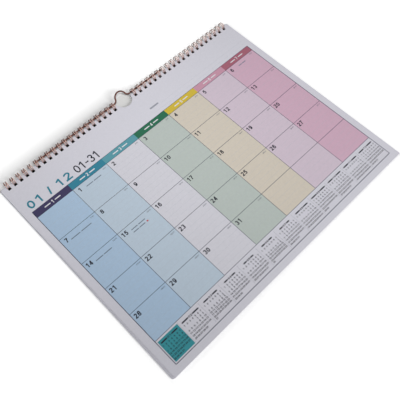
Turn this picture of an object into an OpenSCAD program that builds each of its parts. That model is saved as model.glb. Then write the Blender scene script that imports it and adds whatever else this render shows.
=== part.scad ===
// Wall calendar: a stack of month sheets on two twin-loop wire combs, with a wire hanger.
// It lies on its back: X runs along the binding, +Y points to the head edge, +Z out of the print.

/* [Sheets] */
// Width of a sheet along the binding
sheet_w = 374.65; // [250:0.05:450]
// Height of a sheet
sheet_h = 292.1; // [180:0.1:340]
// Thickness of a sheet
sheet_t = 0.18; // [0.15:0.01:0.25]
// Month sheets, the front one included
sheet_count = 12; // [8:1:14]
// How far the lowest sheet has swung to the left at its foot
foot_swing = 3.2; // [0:0.1:5]
// How far the lowest sheet has slid to the left at its head
head_slide = 0.6; // [0:0.1:1]

/* [Punching] */
// Distance from one punched hole to the next
hole_pitch = 8.467; // [7.5:0.001:10]
// Least paper between the outermost holes and the sides of a sheet
side_margin = 6; // [4:0.5:12]
// Pitches between the two inner holes, across the thumb notch
middle_pitches = 4; // [4:1:6]
// Paper between a hole and the head edge
head_margin = 2.4; // [1.8:0.1:2.6]
// Radius of the thumb notch
notch_r = 11.2; // [10.9:0.1:13]

/* [Twin-loop wire] */
// Wire diameter
wire_d = 0.9; // [0.8:0.05:1.2]
// Open gap between the two wires of a loop
pair_gap = 1.6; // [1.2:0.1:2]
// Bend radius where a loop turns into the spine
spine_bend = 0.9; // [0.7:0.05:1.2]
// Angle round the loop where its two wires meet the spine
spine_angle = 270; // [270:1:290]

/* [Hanger] */
// Diameter of the hanger rod
rod_d = 2.0; // [1.4:0.1:2.2]
// Rod from the middle to its left end
left_arm = 135; // [60:1:180]
// Rod from the middle to its right end
right_arm = 67; // [40:1:180]
// Height of the hump over the rod, between wire centres
hump_h = 9.6; // [7:0.1:9.8]
// Half the width of the hump where it leaves the rod
hump_half_w = 12; // [11:0.1:12.5]
// Radius at the top of the hump
hump_top_r = 8; // [7:0.1:9]
// Tilt of the hump out of the plane of the sheets
hump_tilt = 42; // [40:1:60]
// Where the rod sits in the loops, in degrees below level
rod_seat_angle = 28; // [24:1:40]

/* [Clearances] */
// Wire to the sides of its hole
hole_play = 0.3; // [0.2:0.05:0.5]
// Lowest sheet to the inside of the loops
sheet_clear = 0.4; // [0.3:0.05:0.8]
// Loop axis over the face of the front sheet, room for the rod
axis_rise = 1.2; // [1.1:0.05:1.6]
// Least that the head edge of the front sheet stays short of the loop axis, so that it turns freely
turn_clear = 0.3; // [0.2:0.05:0.5]
// Hanger rod to the inside of the loops
rod_clear = 0.1; // [0.05:0.05:0.3]
// Loop tips to the spine where the comb is closed
seam_gap = 0.6; // [0.4:0.05:0.9]

/* [Hidden] */
$fn = 48;
cut = 1;
// Bends are drawn a hair thinner and run a little way into the straight or wider piece they join
bend_lap = 0.08;
bend_step = 0.02;

// Loops sized by the stack that they hold
loop_in_r = sheet_clear + sheet_count * sheet_t + axis_rise;
loop_r = loop_in_r + wire_d / 2;
loop_out_r = loop_in_r + wire_d;
pair_half = (pair_gap + wire_d) / 2;
hole_size = pair_gap + 2 * wire_d + 2 * hole_play;
first_hole = hole_pitch * middle_pitches / 2;
comb_loops = floor((sheet_w / 2 - side_margin - hole_size / 2 - first_hole) / hole_pitch) + 1;

// Heights over the loop axis
stack_top = -axis_rise - sheet_t;
stack_foot = -axis_rise - sheet_count * sheet_t;

// Each sheet hangs with the wire at the head end of its holes
function crossing(r, z) = -sqrt(r * r - z * z);
function hole_head(i) = crossing(loop_in_r, -axis_rise - (i + 1) * sheet_t) + hole_play;
function head_edge(i) = hole_head(i) + head_margin;
front_head = min(-turn_clear, head_edge(0));
hole_foot = hole_head(0) - hole_size;

// The closed seam: spine first, then a gap, then the tips
seam_arc = spine_bend + wire_d + seam_gap + pair_half;
tip_angle = spine_angle + seam_arc / loop_r * 180 / PI - 360;

// Hump arcs, tangent to the rod and to each other
hump_arc = 2 * atan(hump_h / hump_half_w);
foot_r = hump_half_w / sin(hump_arc) - hump_top_r;
rod_seat_r = loop_in_r - rod_d / 2 - rod_clear;
rod_y = rod_seat_r * cos(rod_seat_angle);
rod_z = -rod_seat_r * sin(rod_seat_angle);

// The loop axis, with the origin under the middle of the whole part
head_y = rod_y + hump_h * cos(hump_tilt) + rod_d / 2;
foot_y = front_head - sheet_h;
axis_pos = [foot_swing / 2, -(head_y + foot_y) / 2, loop_out_r];

module at_holes() {
    for (side = [-1, 1], k = [0 : comb_loops - 1])
        translate([side * (first_hole + k * hole_pitch) - hole_size / 2, 0, 0]) children();
}

// A hole through the rest of the stack: its head side leans along the wire's path
module stack_slot() {
    low = hole_head(sheet_count - 1);
    rotate([90, 0, 90]) linear_extrude(hole_size)
        polygon([
            [hole_foot, stack_foot - cut], [low, stack_foot - cut], [low, stack_foot],
            [hole_head(0), stack_top], [hole_head(0), stack_top + cut], [hole_foot, stack_top + cut]
        ]);
}

module thumb_notch(z, height) {
    translate([0, front_head, z - cut]) {
        cylinder(r = notch_r, h = height + 2 * cut);
        translate([-notch_r, 0, 0])
            cube([2 * notch_r, hole_size + head_margin, height + 2 * cut]);
    }
}

// A later month's sheet, i places under the front one
module under_sheet(i) {
    lag = i / (sheet_count - 1);
    head = head_edge(i);
    left = -sheet_w / 2 - lag * head_slide;
    foot_left = -sheet_w / 2 - lag * foot_swing;
    translate([0, 0, -axis_rise - (i + 1) * sheet_t])
        linear_extrude(sheet_t)
            polygon([
                [left, head], [foot_left, head - sheet_h],
                [foot_left + sheet_w, head - sheet_h], [left + sheet_w, head]
            ]);
}

module page_stack() {
    color("whitesmoke") translate(axis_pos)
        difference() {
            union() for (i = [1 : sheet_count - 1]) under_sheet(i);
            at_holes() stack_slot();
            thumb_notch(stack_foot, stack_top - stack_foot);
        }
}

module front_sheet() {
    color("white") translate(axis_pos)
        difference() {
            translate([-sheet_w / 2, front_head - sheet_h, stack_top])
                cube([sheet_w, sheet_h, sheet_t]);
            at_holes() translate([0, hole_foot, stack_top - cut])
                cube([hole_size, hole_size, sheet_t + 2 * cut]);
            thumb_notch(stack_top, sheet_t);
        }
}

// A point on the loop circle: local +Y runs back along the circle, local +Z points outwards
module at_loop(angle) {
    translate([0, loop_r * cos(angle), loop_r * sin(angle)])
        rotate([angle - 90, 0, 0]) children();
}

module wire_arc(radius, from, to, d) {
    rotate_extrude(angle = to - from, start = from) translate([radius, 0]) circle(d = d);
}

module bend(radius, from, to, d) {
    lap = bend_lap / radius * 180 / PI;
    wire_arc(radius, from - lap, to + lap, d - bend_step);
}

// One loop: two wires round the sheets, joined by a hairpin at the tip
module twin_loop(x) {
    for (side = [-1, 1])
        translate([x + side * pair_half, 0, 0]) rotate([90, 0, 90])
            wire_arc(loop_r, tip_angle, spine_angle, wire_d);
    at_loop(tip_angle) translate([x, 0, 0]) bend(pair_half, 0, 180, wire_d);
}

// The spine wire between the loop at x and the next one
module spine_link(x) {
    from = x + pair_half + spine_bend;
    to = x + hole_pitch - pair_half - spine_bend;
    at_loop(spine_angle) {
        translate([from, 0, 0]) bend(spine_bend, 180, 270, wire_d);
        translate([from, -spine_bend, 0]) rotate([0, 90, 0]) cylinder(d = wire_d, h = to - from);
        translate([to, 0, 0]) bend(spine_bend, 270, 360, wire_d);
    }
}

module comb(first_x) {
    color("rosybrown") translate(axis_pos) {
        for (k = [0 : comb_loops - 1]) twin_loop(first_x + k * hole_pitch);
        for (k = [0 : comb_loops - 2]) spine_link(first_x + k * hole_pitch);
    }
}

module left_wire() comb(-first_hole - (comb_loops - 1) * hole_pitch);

module right_wire() comb(first_hole);

module rod_length(from, to) {
    translate([from, 0, 0]) rotate([0, 90, 0]) cylinder(d = rod_d, h = to - from);
}

// Bent from one rod, in the plane that the hump tilts in
module hanger() {
    color("sienna") translate(axis_pos + [0, rod_y, rod_z]) rotate([hump_tilt, 0, 0]) {
        rod_length(-left_arm, -hump_half_w);
        translate([-hump_half_w, foot_r, 0]) bend(foot_r, -90, hump_arc - 90, rod_d);
        translate([0, hump_h - hump_top_r, 0])
            wire_arc(hump_top_r, 90 - hump_arc, 90 + hump_arc, rod_d);
        translate([hump_half_w, foot_r, 0]) bend(foot_r, -90 - hump_arc, -90, rod_d);
        rod_length(hump_half_w, right_arm);
    }
}

page_stack();
front_sheet();
left_wire();
right_wire();
hanger();
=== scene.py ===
"""Looks of the wall calendar, in the CAD frame: metres, +Y towards the head edge, +Z out of the print."""

import math

import bpy
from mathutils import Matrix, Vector


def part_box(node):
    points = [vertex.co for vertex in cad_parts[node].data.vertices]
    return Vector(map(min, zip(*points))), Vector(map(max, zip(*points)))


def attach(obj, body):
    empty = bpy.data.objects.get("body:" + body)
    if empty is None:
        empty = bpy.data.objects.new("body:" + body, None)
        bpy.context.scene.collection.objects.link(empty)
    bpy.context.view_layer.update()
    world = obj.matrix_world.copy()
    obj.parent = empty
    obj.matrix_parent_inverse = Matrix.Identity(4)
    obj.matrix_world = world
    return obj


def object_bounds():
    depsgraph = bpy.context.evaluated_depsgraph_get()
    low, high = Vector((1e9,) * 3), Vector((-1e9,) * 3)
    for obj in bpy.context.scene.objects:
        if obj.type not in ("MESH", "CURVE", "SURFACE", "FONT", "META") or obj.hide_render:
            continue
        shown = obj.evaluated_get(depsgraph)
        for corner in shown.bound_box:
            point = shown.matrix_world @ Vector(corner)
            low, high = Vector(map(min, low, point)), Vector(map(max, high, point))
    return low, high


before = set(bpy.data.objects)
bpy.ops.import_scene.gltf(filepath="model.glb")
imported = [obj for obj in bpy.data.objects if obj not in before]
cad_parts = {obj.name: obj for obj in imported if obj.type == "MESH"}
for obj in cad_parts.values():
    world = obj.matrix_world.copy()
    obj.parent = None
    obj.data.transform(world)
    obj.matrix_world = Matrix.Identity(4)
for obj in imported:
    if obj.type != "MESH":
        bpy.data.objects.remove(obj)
CAD_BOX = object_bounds()

MM = 0.001

# Camera, fitted to the edges of the sheet and its holes in the photograph
CAMERA_AT = (-0.24434, -0.23281, 0.57704)
CAMERA_AIM = (-0.02918, -0.02810, 0.00346)
CAMERA_ROLL = 1.878
CAMERA_LENS, CAMERA_SENSOR = 50.58, 36.0
CAMERA_NEAR = 0.01

# Dates
WEEK = 7
MONTH_DAYS = (31, 29, 31, 30, 31, 30, 31, 31, 30, 31, 30, 31)
FIRST_WEEKDAY = 1

# Print layout in mm: x from the middle of the sheet, depth down from its head edge
GRID_LEFT, GRID_RIGHT = -177.8, 178.0
COLUMN_W = (GRID_RIGHT - GRID_LEFT) / WEEK
HEADER_TOP, HEADER_FOOT = 47.2, 56.7
HEADER_MIDDLE = (HEADER_TOP + HEADER_FOOT) / 2
ROWS, ROW_H = 5, 39.0
YEAR_TOP = HEADER_FOOT + ROWS * ROW_H
FRAME_FOOT = 283.1
TITLE_AT, TITLE_DAYS_AT = (-146.2, 38.2), (-91.0, 38.0)

# Width of lines in mm, and where the ruled lines lie in a day's cell
LINE_W, OUTER_LINE_W = 0.5, 0.75
RULE_W, DIVIDER_W = 0.12, 0.18
RULES = (11.0, 18.0, 25.0, 32.0)
RULE_INSET = 1.5

# The note lines in the head margin, in mm: a short bar and the left end and depth of two lines
LABEL_LEFT, LABEL_RIGHT, LABEL_DEPTH, LABEL_W = 14.5, 28.8, 33.7, 2.3
NOTE_LINES = ((31.0, 36.0), (14.5, 42.0))

# Bars beside a weekday's number, in mm: near end, far end and width
WEEKDAY_BARS = (3.0, 11.4, 1.4)

# Places in a day's cell, in mm: from its left and top, and for the count from its right and top
DAY_X, DAY_DEPTH = 6.3, 5.7
COUNT_X, COUNT_DEPTH = 6.0, 2.9

# Small notes by day, in mm in its cell: left end, length and depth of a bar that is split in two
NOTES = {
    1: ((14.3, 22.5, 7.3),),
    6: ((18.0, 13.0, 6.5),),
    7: ((10.7, 28.8, 8.3),),
    14: ((13.7, 22.8, 7.9),),
    15: ((14.7, 20.5, 7.2), (14.7, 17.5, 11.1)),
}
NOTE_W = 1.1
FIRST_PART, SECOND_PART = 0.45, 0.5
MARK_DAY = 15
MARK_LEFT, MARK_TOP, MARK_RIGHT, MARK_FOOT = 34.6, 10.2, 36.4, 12.0

# The strip of small months, in mm from the left of a month's box and from the top of the strip
YEAR_BOX_W = (GRID_RIGHT - GRID_LEFT) / len(MONTH_DAYS)
FIELD_LEFT, FIELD_TOP, FIELD_RIGHT = 1.5, 2.3, 1.0
DIVIDER_TOP, STRIP_MARGIN = 2.0, 1.8
SMALL_TITLE_DEPTH, SMALL_WEEKDAY_DEPTH, SMALL_DAY_DEPTH = 5.6, 9.4, 12.9
SMALL_COLUMN_W = 3.85
SMALL_ROW_H, SMALL_ROWS_H = 3.45, 17.4

# Bars beside a small month's number, in mm: they reach as far as a month's name would
SMALL_BAR_NEAR, SMALL_BAR_W = 2.9, 1.5
SMALL_BAR_FAR = (11.5, 12.0, 10.1, 8.4, 7.8, 8.4, 8.2, 10.5, 12.2, 11.5, 12.1, 12.1)

# Ink lies a hair over the paper, one layer over the other, and so do crossing strokes: heights in mm
FIELD_LEVEL, LINE_LEVEL, FIGURE_LEVEL = 0.02, 0.035, 0.05
STROKE_LIFT = 0.002

# Figures: stroke thickness and width in units of their height
BOLD, SMALL, LIGHT = 0.19, 0.22, 0.135
FIGURE_W, SIGN_W = 0.6, {"/": 0.36, "-": 0.4, " ": 0.2}
LEAST_MITRE = 0.5
SAME_PLACE = 1e-6

# Sets of figures: height in mm, then shares of that height, and steps in an arc
TITLE_TYPE = {"height": 11.0, "thick": BOLD, "broad": 1.4, "gap": 0.2, "steps": 14}
TITLE_DAYS_TYPE = {"height": 11.2, "thick": LIGHT, "gap": 0.1, "steps": 14}
WEEKDAY_TYPE = {"height": 4.6, "thick": BOLD}
DAY_TYPE = {"height": 5.8, "thick": BOLD}
COUNT_TYPE = {"height": 1.6, "thick": BOLD, "gap": 0.2, "steps": 4}
SMALL_TITLE_TYPE = {"height": 2.5, "thick": SMALL, "broad": 1.3, "gap": 0.22, "steps": 5}
SMALL_WEEKDAY_TYPE = {"height": 1.9, "thick": SMALL, "broad": 1.2, "steps": 4}
SMALL_DAY_TYPE = {"height": 2.0, "thick": SMALL, "broad": 1.15, "gap": 0.12, "steps": 4}

# The print of the next sheet lies a little to the left and up, as that sheet does
NEXT_LEFT, NEXT_UP = 0.17 * MM, 0.08 * MM

# Weekday colours: the header band and the tint of the days under it
WEEKDAYS = (
    ("violet", (68, 63, 96), (177, 201, 225)),
    ("petrol", (60, 134, 157), (193, 208, 222)),
    ("aqua", (95, 157, 170), (217, 216, 224)),
    ("green", (48, 110, 83), (190, 199, 194)),
    ("yellow", (213, 187, 70), (215, 206, 192)),
    ("rose", (203, 153, 173), (213, 198, 211)),
    ("crimson", (169, 103, 120), (212, 177, 196)),
)

# Inks of lines and figures, and of the sheet's own month in the strip
LINE_INKS = {
    "line": (62, 66, 86),
    "rule": (182, 187, 197),
    "divider": (132, 134, 148),
    "figure": (36, 36, 48),
    "small": (86, 92, 108),
    "label": (158, 161, 171),
    "note": (116, 127, 144),
    "title": (54, 130, 150),
    "white": (226, 226, 230),
    "mark": (196, 70, 76),
}
YEAR_INK = (64, 150, 160)

# Paper and wire: a tone, or the lighter and the darker tone of a mottled finish
WHITE = (255, 255, 255)
PAPER_TONE = (218, 217, 226)
# Painted shade on the sheets' cut edges, multiplied into the paper's tone
EDGE_SHADE_TONE = (224, 224, 222)
LOOP_LIGHT, LOOP_DARK = (202, 164, 153), (166, 128, 117)
HANGER_LIGHT, HANGER_DARK = (90, 43, 30), (66, 30, 21)
LOOP_ROUGH, HANGER_ROUGH = 0.35, 0.45
WIRE_METALLIC = 0.4

# Painted shade: the loops are darker at their far side, fully so from this far before its end
BACK_SHADE_TONE = (136, 120, 114)
BACK_SHADE_SHORT = 1.5 * MM

# Noise patterns, with their scale in turns a metre, and the depth of the bumps made from them
CLOUD = {"scale": 420, "detail": 6, "roughness": 0.7}
TOOTH = {"scale": 2600, "detail": 4}
INK_POLISH = {"scale": 900}
MOTTLE = {"scale": 650, "detail": 4}
WIRE_POLISH = {"scale": 1800, "detail": 2}
WIRE_GRAIN = {"scale": 3000, "detail": 3}
NOISE_LOW, NOISE_HIGH = 0.3, 0.7
TOOTH_DEPTH, GRAIN_DEPTH = 0.03 * MM, 0.02 * MM
PAPER_TOOTH, INK_TOOTH, GRAIN = 0.12, 0.1, 0.08

# How far noise shifts a tone or the roughness: from and to
PAPER_CLOUD, INK_CLOUD = (0.985, 1.012), (0.98, 1.015)
PAPER_ROUGH, FIELD_ROUGH, INK_ROUGH = (0.7, 0.84), (0.64, 0.78), (0.55, 0.72)
WIRE_SMOOTHER, WIRE_ROUGHER = 0.06, 0.1
PAPER_SHEEN, INK_SHEEN = 0.2, 0.15

# The table: half its size, its tone, and its own light by place, as a level, slopes and curves in x and y
TABLE_HALF = 3
TABLE_TONE = 0.92
GLOW_LEVEL, MOST_GLOW = 0.20, 0.9
SLOPE_X, SLOPE_Y = -0.31, -0.05
CURVE_X, CURVE_Y = 1.92, 0.54

# More of that light away from the part, less past the head edge, and more there to the right
FAR_GLOW, WHITE_BY = 0.3, 20 * MM
HEAD_DIM, HEAD_REACH = -0.23, 5 * MM
RIGHT_GLOW, RIGHT_REACH = 0.4, 40 * MM

# Painted shade on the table: black places under the holes, and a patch without the table's own glow under the
# notch and the hump
SHADE_TONE, NOTCH_SHADE_TONE = (0.02, 0.02, 0.02, 1), (0.8, 0.8, 0.79, 1)
SHADE_UP, SHADE_INSET, SHADE_DEEP = 0.1 * MM, 2 * MM, 40 * MM
NOTCH_HALF, NOTCH_FOOT = 13 * MM, 20 * MM
SHOULDER_UP, CROWN_UP = 2.5 * MM, 10 * MM
CROWN_LEFT, CROWN_RIGHT = 2 * MM, 8 * MM

# Light: the level of the world, and each lamp's name, place, aim, size and watts
WORLD_LEVEL = 0.12
LAMPS = (
    ("key", (-0.073, 0.006, 0.42), (0.54, 0.8, 0.0), 0.2, 1.14),
    ("side", (0.25, -1.25, 0.85), (0.0, 0.1, 0.0), 0.9, 18.7),
    ("fill", (-0.82, 0.1, 0.1), (-0.15, 0.05, 0.0), 0.3, 2.2),
)


# Materials

def srgb(red, green, blue):
    """A colour written 0 to 255 as it looks, for a shader."""
    def straight(value):
        value /= 255
        return value / 12.92 if value <= 0.04045 else ((value + 0.055) / 1.055) ** 2.4
    return (straight(red), straight(green), straight(blue), 1.0)


def scaled(colour, factor):
    return tuple(min(255, channel * factor) for channel in colour)


class Material:
    """A principled material and the few node steps that every finish here shares."""

    def __init__(self, name, **settings):
        self.material = bpy.data.materials.new(name)
        self.material.use_nodes = True
        self.nodes = self.material.node_tree.nodes
        self.links = self.material.node_tree.links
        self.shader = self.nodes["Principled BSDF"]
        for socket, value in settings.items():
            self.shader.inputs[socket.replace("_", " ")].default_value = value
        self.place = self.nodes.new("ShaderNodeTexCoord").outputs["Object"]

    def noise(self, scale, detail=3.0, roughness=0.55):
        node = self.nodes.new("ShaderNodeTexNoise")
        node.inputs["Scale"].default_value = scale
        node.inputs["Detail"].default_value = detail
        node.inputs["Roughness"].default_value = roughness
        self.links.new(self.place, node.inputs["Vector"])
        return node.outputs["Fac"]

    def ramp(self, value, low, high, start=NOISE_LOW, end=NOISE_HIGH):
        node = self.nodes.new("ShaderNodeValToRGB")
        first, last = node.color_ramp.elements
        first.position, first.color = start, low
        last.position, last.color = end, high
        self.links.new(value, node.inputs["Fac"])
        return node.outputs["Color"]

    def span(self, value, low, high, start=NOISE_LOW, end=NOISE_HIGH):
        node = self.nodes.new("ShaderNodeMapRange")
        for socket, number in zip(("From Min", "From Max", "To Min", "To Max"), (start, end, low, high)):
            node.inputs[socket].default_value = number
        self.links.new(value, node.inputs["Value"])
        return node.outputs["Result"]

    def along(self, axis):
        """The place on one axis, in metres."""
        apart = self.nodes.new("ShaderNodeSeparateXYZ")
        self.links.new(self.place, apart.inputs[0])
        return apart.outputs[axis]

    def facing_up(self):
        """1 on the faces of a flat piece, 0 on its cut edges."""
        apart = self.nodes.new("ShaderNodeSeparateXYZ")
        self.links.new(self.place.node.outputs["Normal"], apart.inputs[0])
        size = self.nodes.new("ShaderNodeMath")
        size.operation = "ABSOLUTE"
        self.links.new(apart.outputs["Z"], size.inputs[0])
        return size.outputs[0]

    def times(self, first, second):
        """Two colours multiplied."""
        node = self.nodes.new("ShaderNodeMix")
        node.data_type, node.blend_type = "RGBA", "MULTIPLY"
        node.inputs["Factor"].default_value = 1.0
        for name, colour in (("A_Color", first), ("B_Color", second)):
            socket = next(entry for entry in node.inputs if entry.identifier == name)
            self.links.new(colour, socket)
        return next(entry for entry in node.outputs if entry.identifier == "Result_Color")

    def drive(self, socket, value):
        self.links.new(value, self.shader.inputs[socket])

    def bump(self, height, strength, depth):
        node = self.nodes.new("ShaderNodeBump")
        node.inputs["Strength"].default_value = strength
        node.inputs["Distance"].default_value = depth
        self.links.new(height, node.inputs["Height"])
        self.links.new(node.outputs["Normal"], self.shader.inputs["Normal"])


def cloudy(look, cloud, tone, shift):
    """A tone that the paper's cloud makes a little darker and lighter."""
    darker, lighter = shift
    return look.ramp(cloud, srgb(*scaled(tone, darker)), srgb(*scaled(tone, lighter)))


def paper(name, tone):
    """Uncoated sheet: cloudy fibre tone, a fine tooth, a low sheen, and painted shade that darkens the cut
    edges.
    """
    look = Material(name, Specular_IOR_Level=PAPER_SHEEN)
    cloud = look.noise(**CLOUD)
    # Painted shade: the cut edges are darker than the faces
    edges = look.ramp(look.facing_up(), srgb(*EDGE_SHADE_TONE), srgb(*WHITE))
    look.drive("Base Color", look.times(cloudy(look, cloud, tone, PAPER_CLOUD), edges))
    look.drive("Roughness", look.span(cloud, *PAPER_ROUGH))
    look.bump(look.noise(**TOOTH), PAPER_TOOTH, TOOTH_DEPTH)
    return look.material


def field_ink(name, colour):
    """A wide tint: the paper's cloud shows through the thin ink."""
    look = Material(name, Specular_IOR_Level=INK_SHEEN)
    cloud = look.noise(**CLOUD)
    look.drive("Base Color", cloudy(look, cloud, colour, INK_CLOUD))
    look.drive("Roughness", look.span(cloud, *FIELD_ROUGH))
    look.bump(look.noise(**TOOTH), INK_TOOTH, TOOTH_DEPTH)
    return look.material


def line_ink(name, colour):
    """Solid ink for figures and lines, which takes up the paper's tooth."""
    look = Material(name, Base_Color=srgb(*colour), Specular_IOR_Level=INK_SHEEN)
    look.drive("Roughness", look.span(look.noise(**INK_POLISH), *INK_ROUGH))
    look.bump(look.noise(**TOOTH), INK_TOOTH, TOOTH_DEPTH)
    return look.material


def wire_metal(name, light, dark, rough, back_shade_span=None):
    """Drawn wire with a tinted coat: mottled tone and fine uneven polish, and painted shade that darkens it
    between two places in Y.
    """
    look = Material(name, Metallic=WIRE_METALLIC)
    tone = look.ramp(look.noise(**MOTTLE), srgb(*dark), srgb(*light))
    if back_shade_span:
        # Painted shade: darker towards the far side, in Y
        back = look.span(look.along("Y"), 0.0, 1.0, *back_shade_span)
        tone = look.times(tone, look.ramp(back, srgb(*WHITE), srgb(*BACK_SHADE_TONE), 0.0, 1.0))
    look.drive("Base Color", tone)
    look.drive("Roughness", look.span(look.noise(**WIRE_POLISH), rough - WIRE_SMOOTHER, rough + WIRE_ROUGHER))
    look.bump(look.noise(**WIRE_GRAIN), GRAIN, GRAIN_DEPTH)
    return look.material


def dress(node, material):
    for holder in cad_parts[node].material_slots:
        holder.material = material


# Ink on a sheet

class Sheet:
    """A printed face: where its print lies and what it moves with."""

    def __init__(self, name, body, slot, middle, head, face):
        self.name, self.body, self.slot = name, body, slot
        self.middle, self.head, self.face = middle, head, face

    def point(self, x, depth, level):
        return (self.middle + x * MM, self.head - depth * MM, self.face + level * MM)


def arc(cx, cy, rx, ry, start, end, steps):
    """Points round an ellipse, between two angles in degrees."""
    turns = [math.radians(start + (end - start) * step / steps) for step in range(steps + 1)]
    return [(cx + rx * math.cos(turn), cy + ry * math.sin(turn)) for turn in turns]


def strokes(sign, thick, steps):
    """The centre lines of a plain figure, drawn one unit high."""
    edge, wide, full = thick / 2, FIGURE_W, 2 * steps
    middle, rx, top, waist = wide / 2, wide / 2 - edge, 1 - edge, 0.53
    slash, hyphen, hook, bowl_top = SIGN_W["/"], SIGN_W["-"], 0.71, 0.63
    oval = (middle, 0.5, rx, 0.5 - edge)
    upper = (middle, (top + waist) / 2, rx * 0.9, (top - waist) / 2)
    lower = (middle, (waist + edge) / 2, rx, (waist - edge) / 2)
    bowl = (middle, (bowl_top + edge) / 2, rx, (bowl_top - edge) / 2)
    two = arc(middle, hook, rx, top - hook, 172, -32, steps) + [(edge + 0.02, edge)]
    six = [arc(*bowl, 0, 360, full), [(edge, bowl[1])] + arc(*oval, 180, 38, steps)]
    shapes = {
        "0": [arc(*oval, 0, 360, full)],
        "1": [[(0.36, 0), (0.36, 1)], [(0.08, 0.73), (0.36, 1 - edge * 0.9)]],
        "2": [two, [(0, edge), (wide, edge)]],
        "3": [arc(*upper, 165, -90, steps), arc(*lower, 90, -165, steps)],
        "4": [[(0.43, 0), (0.43, 1)], [(0.42, 0.97), (edge, 0.3)], [(0, 0.28), (wide, 0.28)]],
        "5": [[(0.12, top), (wide - 0.04, top)], [(0.16, top), (0.09, 0.47)], arc(*bowl, 140, -160, steps)],
        "6": six,
        "7": [[(0, top), (wide, top)], [(wide - edge, top), (0.38, 0.6), (0.27, 0.3), (0.23, 0)]],
        "8": [arc(*upper, 0, 360, full), arc(*lower, 0, 360, full)],
        "9": [[(wide - x, 1 - y) for x, y in line] for line in six],
        "/": [[(edge, 0), (slash - edge, 1)]],
        "-": [[(0, 0.45), (hyphen, 0.45)]],
        " ": [],
    }
    return shapes[sign]


def ribbon(line, thick):
    """Both sides of a stroke, and the faces between them."""
    spans = [Vector(b) - Vector(a) for a, b in zip(line, line[1:])]
    across = [Vector((-span.y, span.x)).normalized() for span in spans]
    closed = (Vector(line[0]) - Vector(line[-1])).length < SAME_PLACE
    before = [across[-1 if closed else 0]] + across
    after = across + [across[0 if closed else -1]]
    points = []
    for place, one, other in zip(line, before, after):
        lean = (one + other).normalized()
        reach = lean * (thick / 2 / max(LEAST_MITRE, lean.dot(one)))
        points += [tuple(Vector(place) + reach), tuple(Vector(place) - reach)]
    return points, [(k + 1, k + 3, k + 2, k) for k in range(0, 2 * len(spans), 2)]


class Film:
    """Flat ink shapes of one colour, gathered into one mesh. Strokes that cross lie a hair apart."""

    def __init__(self):
        self.points, self.faces = [], []

    def shape(self, points, faces, lift=0.0):
        start = len(self.points)
        self.points += [(x, depth, lift) for x, depth in points]
        self.faces += [tuple(start + corner for corner in face) for face in faces]

    def field(self, left, top, right, foot):
        self.shape([(left, foot), (right, foot), (right, top), (left, top)], [(0, 1, 2, 3)])

    def across(self, left, right, depth, width):
        self.field(left, depth - width / 2, right, depth + width / 2)

    def down(self, x, top, foot, width):
        self.field(x - width / 2, top, x + width / 2, foot)

    def dash(self, left, right, depth, width, steps=5):
        """A bar with round ends."""
        radius = width / 2
        ring = arc(right - radius, -depth, radius, radius, -90, 90, steps)
        ring += arc(left + radius, -depth, radius, radius, 90, 270, steps)
        self.shape([(x, -y) for x, y in ring], [tuple(range(len(ring)))])

    def bars_beside(self, x, depth, near, far, width):
        """Two bars, one on each side of a figure."""
        self.dash(x - far, x - near, depth, width)
        self.dash(x + near, x + far, depth, width)

    def figure(self, text, x, depth, height, thick, broad=1.0, gap=0.13, steps=9):
        """Figures centred on a point. broad widens them, and gap is the room between two."""
        widths = [SIGN_W.get(sign, FIGURE_W) * broad for sign in text]
        pen = x - height * (sum(widths) + gap * (len(text) - 1)) / 2
        foot = depth + height / 2
        for sign, width in zip(text, widths):
            for order, line in enumerate(strokes(sign, thick, steps)):
                points, faces = ribbon([(px * broad, py) for px, py in line], thick)
                placed = [(pen + px * height, foot - py * height) for px, py in points]
                self.shape(placed, faces, order * STROKE_LIFT)
            pen += height * (width + gap)

    def lay(self, name, sheet, level, material):
        places = [sheet.point(x, depth, level + lift) for x, depth, lift in self.points]
        mesh = bpy.data.meshes.new(name)
        mesh.from_pydata(places, [], self.faces)
        mesh.materials.append(material)
        mesh.update()
        piece = bpy.data.objects.new(f"{sheet.name}_{name}", mesh)
        bpy.context.scene.collection.objects.link(piece)
        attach(piece, sheet.body)


# The month's print

def column_left(column):
    return GRID_LEFT + column * COLUMN_W


def row_top(row):
    return HEADER_FOOT + row * ROW_H


def day_cells(first_weekday, days):
    """Each day with the left and top of its cell."""
    for day in range(1, days + 1):
        row, column = divmod(first_weekday + day - 1, WEEK)
        yield day, column_left(column), row_top(row)


def lay_weekdays(sheet, inks):
    for column, (colour, _, _) in enumerate(WEEKDAYS):
        left, right = column_left(column), column_left(column + 1)
        band, tint = Film(), Film()
        band.field(left, HEADER_TOP, right, HEADER_FOOT)
        for row in range(ROWS):
            tint.field(left, row_top(row), right, row_top(row + 1))
        band.lay(f"band_{colour}", sheet, FIELD_LEVEL, inks[f"band_{colour}"])
        tint.lay(f"days_{colour}", sheet, FIELD_LEVEL, inks[f"days_{colour}"])


def lay_frame_lines(sheet, inks):
    lines = Film()
    for row in range(ROWS + 1):
        lines.across(GRID_LEFT, GRID_RIGHT, row_top(row), LINE_W)
    lines.across(GRID_LEFT, GRID_RIGHT, FRAME_FOOT, OUTER_LINE_W)
    lines.across(GRID_LEFT, GRID_RIGHT, HEADER_TOP, LINE_W)
    for column in range(1, WEEK):
        lines.down(column_left(column), HEADER_FOOT, YEAR_TOP, LINE_W)
    for x in (GRID_LEFT, GRID_RIGHT):
        lines.down(x, HEADER_TOP, FRAME_FOOT, OUTER_LINE_W)
    lines.lay("frame_lines", sheet, LINE_LEVEL, inks["line"])


def lay_cell_rules(sheet, inks):
    rules = Film()
    for row in range(ROWS):
        for column in range(WEEK):
            left, right = column_left(column) + RULE_INSET, column_left(column + 1) - RULE_INSET
            for step in RULES:
                rules.across(left, right, row_top(row) + step, RULE_W)
    rules.lay("cell_rules", sheet, LINE_LEVEL, inks["rule"])


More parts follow.
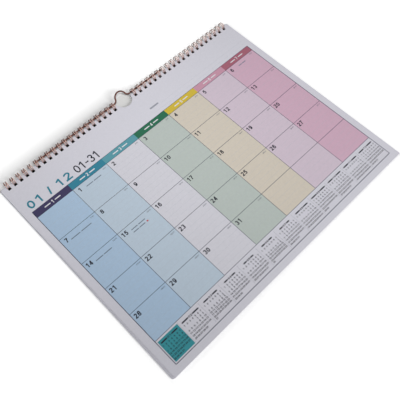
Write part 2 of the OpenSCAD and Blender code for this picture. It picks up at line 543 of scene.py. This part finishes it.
def lay_title(sheet, inks, month, days):
    title, title_days = Film(), Film()
    title.figure(f"{month:02d} / {len(MONTH_DAYS)}", *TITLE_AT, **TITLE_TYPE)
    title.lay("title", sheet, FIGURE_LEVEL, inks["title"])
    title_days.figure(f"01-{days}", *TITLE_DAYS_AT, **TITLE_DAYS_TYPE)
    title_days.lay("title_days", sheet, FIGURE_LEVEL, inks["figure"])


def lay_note_lines(sheet, inks):
    label, rules = Film(), Film()
    label.dash(LABEL_LEFT, LABEL_RIGHT, LABEL_DEPTH, LABEL_W)
    label.lay("note_label", sheet, FIGURE_LEVEL, inks["label"])
    for left, depth in NOTE_LINES:
        rules.across(left, GRID_RIGHT, depth, RULE_W)
    rules.lay("note_rules", sheet, LINE_LEVEL, inks["rule"])


def lay_weekday_marks(sheet, inks):
    marks = Film()
    for column in range(WEEK):
        x = column_left(column) + COLUMN_W / 2
        marks.figure(str(column + 1), x, HEADER_MIDDLE, **WEEKDAY_TYPE)
        marks.bars_beside(x, HEADER_MIDDLE, *WEEKDAY_BARS)
    marks.lay("weekday_marks", sheet, FIGURE_LEVEL, inks["white"])


def lay_days(sheet, inks, first_weekday, days):
    numbers, counts = Film(), Film()
    for day, left, top in day_cells(first_weekday, days):
        numbers.figure(str(day), left + DAY_X, top + DAY_DEPTH, **DAY_TYPE)
        counts.figure(f"{day}/{days}", left + COLUMN_W - COUNT_X, top + COUNT_DEPTH, **COUNT_TYPE)
    numbers.lay("day_numbers", sheet, FIGURE_LEVEL, inks["figure"])
    counts.lay("day_counts", sheet, FIGURE_LEVEL, inks["small"])


def draw_small_month(film, left, number, start, days):
    """One month of the strip, whose first day falls on the weekday start."""
    middle = left + YEAR_BOX_W / 2
    columns = [middle + (weekday - WEEK // 2) * SMALL_COLUMN_W for weekday in range(WEEK)]
    title_depth, title_reach = YEAR_TOP + SMALL_TITLE_DEPTH, SMALL_BAR_FAR[number - 1]
    film.figure(f"{number:02d}", middle, title_depth, **SMALL_TITLE_TYPE)
    film.bars_beside(middle, title_depth, SMALL_BAR_NEAR, title_reach, SMALL_BAR_W)
    for weekday, x in enumerate(columns):
        film.figure(str(weekday + 1), x, YEAR_TOP + SMALL_WEEKDAY_DEPTH, **SMALL_WEEKDAY_TYPE)
    weeks = math.ceil((start + days) / WEEK)
    row_h = min(SMALL_ROW_H, SMALL_ROWS_H / weeks)
    for day in range(1, days + 1):
        week, weekday = divmod(start + day - 1, WEEK)
        film.figure(str(day), columns[weekday], YEAR_TOP + SMALL_DAY_DEPTH + week * row_h, **SMALL_DAY_TYPE)


def lay_year(sheet, inks, month):
    """The strip of twelve small months, with the sheet's own month on a coloured field."""
    figures, dividers, field = Film(), Film(), Film()
    start, strip_foot = FIRST_WEEKDAY, FRAME_FOOT - STRIP_MARGIN
    for index, days in enumerate(MONTH_DAYS):
        left = GRID_LEFT + index * YEAR_BOX_W
        if index + 1 == month:
            field.field(left + FIELD_LEFT, YEAR_TOP + FIELD_TOP, left + YEAR_BOX_W - FIELD_RIGHT, strip_foot)
        if index:
            dividers.down(left, YEAR_TOP + DIVIDER_TOP, strip_foot, DIVIDER_W)
        draw_small_month(figures, left, index + 1, start, days)
        start = (start + days) % WEEK
    field.lay("year_field", sheet, FIELD_LEVEL, inks["year"])
    dividers.lay("year_dividers", sheet, LINE_LEVEL, inks["divider"])
    figures.lay("year_figures", sheet, FIGURE_LEVEL, inks["figure"])


def lay_notes(sheet, inks, first_weekday, days):
    """Plain bars where small notes stand in some days, and one small coloured mark."""
    bars, mark = Film(), Film()
    for day, left, top in day_cells(first_weekday, days):
        for start, length, depth in NOTES.get(day, ()):
            bars.dash(left + start, left + start + length * FIRST_PART, top + depth, NOTE_W)
            bars.dash(left + start + length * SECOND_PART, left + start + length, top + depth, NOTE_W)
        if day == MARK_DAY:
            mark.field(left + MARK_LEFT, top + MARK_TOP, left + MARK_RIGHT, top + MARK_FOOT)
    bars.lay("day_notes", sheet, FIGURE_LEVEL, inks["note"])
    mark.lay("day_mark", sheet, FIGURE_LEVEL, inks["mark"])


def print_month(sheet, inks, month, first_weekday):
    days = MONTH_DAYS[month - 1]
    lay_weekdays(sheet, inks)
    lay_frame_lines(sheet, inks)
    lay_cell_rules(sheet, inks)
    lay_title(sheet, inks, month, days)
    lay_note_lines(sheet, inks)
    lay_weekday_marks(sheet, inks)
    lay_days(sheet, inks, first_weekday, days)
    lay_year(sheet, inks, month)


def make_inks():
    inks = {name: line_ink(f"ink_{name}", colour) for name, colour in LINE_INKS.items()}
    inks["year"] = field_ink("ink_year", YEAR_INK)
    for colour, band, tint in WEEKDAYS:
        inks[f"band_{colour}"] = field_ink(f"ink_band_{colour}", band)
        inks[f"days_{colour}"] = field_ink(f"ink_days_{colour}", tint)
    return inks


# Stage

def look_at(thing, target, roll=0.0):
    turn = (Vector(target) - thing.location).to_track_quat("-Z", "Y")
    thing.rotation_euler = turn.to_euler()
    thing.rotation_euler.rotate_axis("Z", math.radians(roll))


def add_camera():
    lens = bpy.data.cameras.new("camera")
    lens.lens, lens.sensor_width, lens.clip_start = CAMERA_LENS, CAMERA_SENSOR, CAMERA_NEAR
    camera = bpy.data.objects.new("camera", lens)
    bpy.context.scene.collection.objects.link(camera)
    camera.location = CAMERA_AT
    look_at(camera, CAMERA_AIM, CAMERA_ROLL)
    bpy.context.scene.camera = camera


def add_lamp(name, place, target, size, watts):
    lamp = bpy.data.lights.new(name, "AREA")
    lamp.shape, lamp.size, lamp.energy = "DISK", size, watts
    holder = bpy.data.objects.new(name, lamp)
    bpy.context.scene.collection.objects.link(holder)
    holder.location = place
    holder.visible_camera = False
    look_at(holder, target)


def seen_directly(tree):
    """One for rays that show the background: straight from the camera, or by way of gloss or glass."""
    path = tree.nodes.new("ShaderNodeLightPath")
    total = path.outputs["Is Camera Ray"]
    for other in ("Is Glossy Ray", "Is Transmission Ray"):
        node = tree.nodes.new("ShaderNodeMath")
        node.operation, node.use_clamp = "ADD", True
        tree.links.new(total, node.inputs[0])
        tree.links.new(path.outputs[other], node.inputs[1])
        total = node.outputs[0]
    return total


def flat_piece(name, corners, material, height=0.0):
    mesh = bpy.data.meshes.new(name)
    mesh.from_pydata([(x, y, height) for x, y in corners], [], [tuple(range(len(corners)))])
    mesh.materials.append(material)
    piece = bpy.data.objects.new(name, mesh)
    bpy.context.scene.collection.objects.link(piece)


def rectangle(left, foot, right, top):
    return [(left, foot), (right, foot), (right, top), (left, top)]


class TableGlow:
    """What the white table adds to the lamps' light, worked out by place in its nodes."""

    def __init__(self, tree):
        self.tree = tree
        place = tree.nodes.new("ShaderNodeTexCoord").outputs["Object"]
        apart = tree.nodes.new("ShaderNodeSeparateXYZ")
        tree.links.new(place, apart.inputs[0])
        self.x, self.y = apart.outputs["X"], apart.outputs["Y"]

    def maths(self, operation, *values, clamp=False):
        node = self.tree.nodes.new("ShaderNodeMath")
        node.operation, node.use_clamp = operation, clamp
        for socket, value in zip(node.inputs, values):
            if isinstance(value, float):
                socket.default_value = value
            else:
                self.tree.links.new(value, socket)
        return node.outputs[0]

    def even(self):
        """Makes up for the lamps' fall-off, so that the table is even."""
        slope_x = self.maths("MULTIPLY", self.x, SLOPE_X)
        slope_y = self.maths("MULTIPLY", self.y, SLOPE_Y)
        curve_x = self.maths("MULTIPLY", self.maths("MULTIPLY", self.x, self.x), CURVE_X)
        curve_y = self.maths("MULTIPLY", self.maths("MULTIPLY", self.y, self.y), CURVE_Y)
        slope = self.maths("ADD", slope_x, slope_y)
        curve = self.maths("ADD", curve_x, curve_y)
        return self.maths("ADD", self.maths("ADD", slope, GLOW_LEVEL), curve)

    def far(self):
        """Grows outside the part's box, so that the table is white there."""
        beside = self.maths("SUBTRACT", self.maths("ABSOLUTE", self.x), CAD_BOX[1][0])
        beyond = self.maths("SUBTRACT", self.maths("ABSOLUTE", self.y), CAD_BOX[1][1])
        away = self.maths("DIVIDE", self.maths("MAXIMUM", beside, beyond), WHITE_BY)
        return self.maths("MULTIPLY", self.maths("MAXIMUM", away, 0.0), FAR_GLOW)

    def head(self):
        """Deepens the shadow past the head edge, but for the right half, where the photograph has none."""
        past_head = self.maths("SUBTRACT", self.y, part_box("front_sheet")[1].y)
        past_head = self.maths("DIVIDE", past_head, HEAD_REACH, clamp=True)
        to_right = self.maths("DIVIDE", self.x, RIGHT_REACH, clamp=True)
        dim = self.maths("MULTIPLY", past_head, HEAD_DIM)
        glow = self.maths("MULTIPLY", self.maths("MULTIPLY", to_right, past_head), RIGHT_GLOW)
        return self.maths("ADD", dim, glow)

    def strength(self):
        total = self.maths("ADD", self.maths("ADD", self.even(), self.head()), self.far())
        limited = self.maths("MINIMUM", total, MOST_GLOW, clamp=True)
        return self.maths("MULTIPLY", limited, seen_directly(self.tree))


def white_table():
    """A white table: part of its white is its own, so that shadows on it stay soft and pale."""
    material = bpy.data.materials.new("floor")
    material.use_nodes = True
    tree = material.node_tree
    tree.nodes.remove(tree.nodes["Principled BSDF"])
    matt = tree.nodes.new("ShaderNodeBsdfDiffuse")
    own = tree.nodes.new("ShaderNodeEmission")
    both = tree.nodes.new("ShaderNodeAddShader")
    matt.inputs["Color"].default_value = (TABLE_TONE, TABLE_TONE, TABLE_TONE, 1)
    tree.links.new(TableGlow(tree).strength(), own.inputs["Strength"])
    tree.links.new(matt.outputs[0], both.inputs[0])
    tree.links.new(own.outputs[0], both.inputs[1])
    tree.links.new(both.outputs[0], tree.nodes["Material Output"].inputs["Surface"])
    return material


def matt_tone(name, tone):
    return Material(name, Base_Color=tone, Roughness=1.0, Specular_IOR_Level=0.0).material


def shade_holes(low, high, left, right):
    """Painted shade: black places on the table under both rows of holes, so that the holes look dark."""
    shade = matt_tone("shade", SHADE_TONE)
    rows = {"left": (low.x + SHADE_INSET, left), "right": (right, high.x - SHADE_INSET)}
    for side, (start, end) in rows.items():
        flat_piece(f"shade_{side}", rectangle(start, high.y - SHADE_DEEP, end, high.y), shade, SHADE_UP)


def shade_notch(middle, head, left, right):
    """Painted shade: a patch of table without the table's own glow, under the notch and the hump, so that it
    shows grey there.
    """
    foot, shoulder, crown = head - NOTCH_FOOT, head + SHOULDER_UP, head + CROWN_UP
    corners = [
        (left, foot), (right, foot), (right, shoulder),
        (middle + CROWN_RIGHT, crown), (middle - CROWN_LEFT, crown), (left, shoulder),
    ]
    flat_piece("shade_notch", corners, matt_tone("notch_shade", NOTCH_SHADE_TONE), SHADE_UP)


def add_floor():
    flat_piece("floor", rectangle(-TABLE_HALF, -TABLE_HALF, TABLE_HALF, TABLE_HALF), white_table())
    low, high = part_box("front_sheet")
    middle = (low.x + high.x) / 2
    left, right = middle - NOTCH_HALF, middle + NOTCH_HALF
    shade_holes(low, high, left, right)
    shade_notch(middle, high.y, left, right)


def set_world():
    world = bpy.data.worlds.new("studio")
    bpy.context.scene.world = world
    world.use_nodes = True
    tree = world.node_tree
    background = tree.nodes["Background"]
    background.inputs["Color"].default_value = (1, 1, 1, 1)
    shown = tree.nodes.new("ShaderNodeMapRange")
    shown.inputs["To Min"].default_value = WORLD_LEVEL
    shown.inputs["To Max"].default_value = 1.0
    tree.links.new(seen_directly(tree), shown.inputs["Value"])
    tree.links.new(shown.outputs["Result"], background.inputs["Strength"])


def set_stage():
    bpy.context.scene.view_settings.view_transform = "Standard"
    add_camera()
    add_floor()
    set_world()
    for lamp in LAMPS:
        add_lamp(*lamp)


# The whole calendar

def dress_solids():
    dress("page_stack", paper("stack_paper", PAPER_TONE))
    dress("front_sheet", paper("sheet_paper", PAPER_TONE))
    low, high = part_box("left_wire")
    # Painted shade over the far half of the loops, full just short of their far end
    back_shade_span = ((low.y + high.y) / 2, high.y - BACK_SHADE_SHORT)
    loops = wire_metal("loop_metal", LOOP_LIGHT, LOOP_DARK, LOOP_ROUGH, back_shade_span)
    dress("left_wire", loops)
    dress("right_wire", loops)
    dress("hanger", wire_metal("hanger_metal", HANGER_LIGHT, HANGER_DARK, HANGER_ROUGH))


def print_sheets():
    """The month on show, and under it the next one."""
    inks = make_inks()
    low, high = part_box("front_sheet")
    middle = (low.x + high.x) / 2
    days = MONTH_DAYS[0]
    front = Sheet("front", "month_sheet", "printed_paper", middle, high.y, high.z)
    print_month(front, inks, 1, FIRST_WEEKDAY)
    lay_notes(front, inks, FIRST_WEEKDAY, days)
    under = Sheet("next", "bound_stack", "paper", middle - NEXT_LEFT, high.y + NEXT_UP, low.z)
    print_month(under, inks, 2, (FIRST_WEEKDAY + days) % WEEK)


def main():
    set_stage()
    dress_solids()
    print_sheets()


main()
